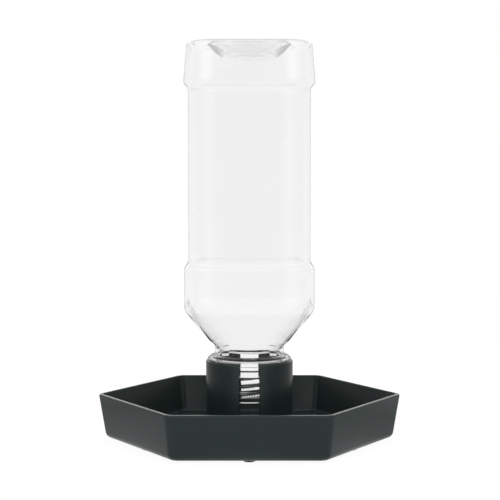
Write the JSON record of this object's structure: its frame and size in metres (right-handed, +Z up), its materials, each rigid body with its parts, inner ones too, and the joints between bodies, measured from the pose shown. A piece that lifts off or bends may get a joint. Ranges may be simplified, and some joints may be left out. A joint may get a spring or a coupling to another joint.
{
  "type": "poultry waterer fount",
  "caption": "Gravity drinker: a clear rounded-square bottle stands neck down in the slotted socket of a hexagonal water tray on small domed feet.",
  "frame": {"origin": "on the table, under the middle of the tray", "axes": "+Z up along the bottle's axis, -Y towards the front slot and a flat side of the tray, +X towards a corner of the tray"},
  "size_m": [0.1492, 0.1304, 0.1963],
  "materials": {
    "tray_plastic": "satin moulded",
    "bottle_clear": "clear blown",
    "foot_rubber": "matt"
  },
  "bodies": {
    "base": {"tray": "tray_plastic", "foot_front": "foot_rubber", "foot_front_right": "foot_rubber", "foot_rear_right": "foot_rubber", "foot_rear": "foot_rubber", "foot_rear_left": "foot_rubber", "foot_front_left": "foot_rubber"},
    "fount_bottle": {"bottle": "bottle_clear"}
  },
  "joints": [
    {"name": "bottle_lift", "type": "slide", "parent": "base", "child": "fount_bottle", "axis": [0, 0, 1], "range_m": [0, 0.05]}
  ]
}
